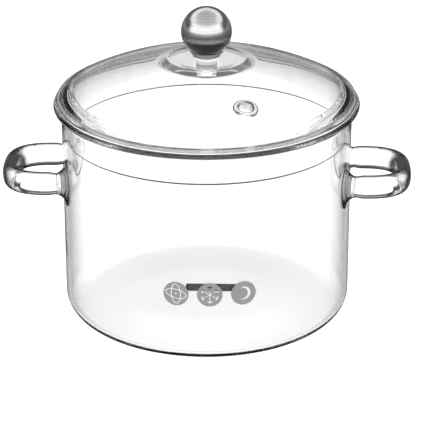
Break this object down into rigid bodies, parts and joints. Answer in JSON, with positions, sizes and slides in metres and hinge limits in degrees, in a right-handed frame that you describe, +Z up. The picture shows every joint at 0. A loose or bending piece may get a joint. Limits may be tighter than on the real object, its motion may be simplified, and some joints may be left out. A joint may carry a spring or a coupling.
{
  "type": "saucepan with glass lid",
  "caption": "Clear glass saucepan with two loop handles, a domed vented glass lid with a drop-in skirt, and a steel ball knob.",
  "frame": {"origin": "centre of the base, on the plane it rests on", "axes": "+Z up along the pot's axis, +X towards the right-hand handle, -Y towards the printed symbols"},
  "size_m": [0.213, 0.1582, 0.1644],
  "materials": {
    "borosilicate_glass": "clear, fire-polished",
    "brushed_steel": "circumferentially brushed",
    "polished_steel": "bright turned",
    "silicone": "translucent silicone",
    "grey_enamel": "thin fired enamel, mid grey",
    "dark_enamel": "thin fired enamel, near black"
  },
  "bodies": {
    "pot": {"pot_body": "borosilicate_glass", "handle_left": "borosilicate_glass", "handle_right": "borosilicate_glass", "wall_symbols": "grey_enamel", "base_mark": "dark_enamel"},
    "knob": {"knob_ball": "brushed_steel", "knob_neck": "polished_steel", "knob_insert": "polished_steel", "upper_washer": "silicone", "hole_bush": "silicone", "lower_washer": "silicone", "cup_washer": "polished_steel", "lock_washer": "polished_steel", "knob_screw": "polished_steel"},
    "lid": {"lid_dome": "borosilicate_glass", "lid_skirt": "borosilicate_glass", "vent_bead": "borosilicate_glass"}
  },
  "joints": [
    {"name": "lid_lift", "type": "slide", "parent": "pot", "child": "knob", "axis": [0, 0, 1], "range_m": [0, 0.08]},
    {"name": "lid_turn", "type": "hinge", "parent": "knob", "child": "lid", "pos_m": [0, 0, 0.1353], "axis": [0, 0, 1], "continuous": true}
  ]
}
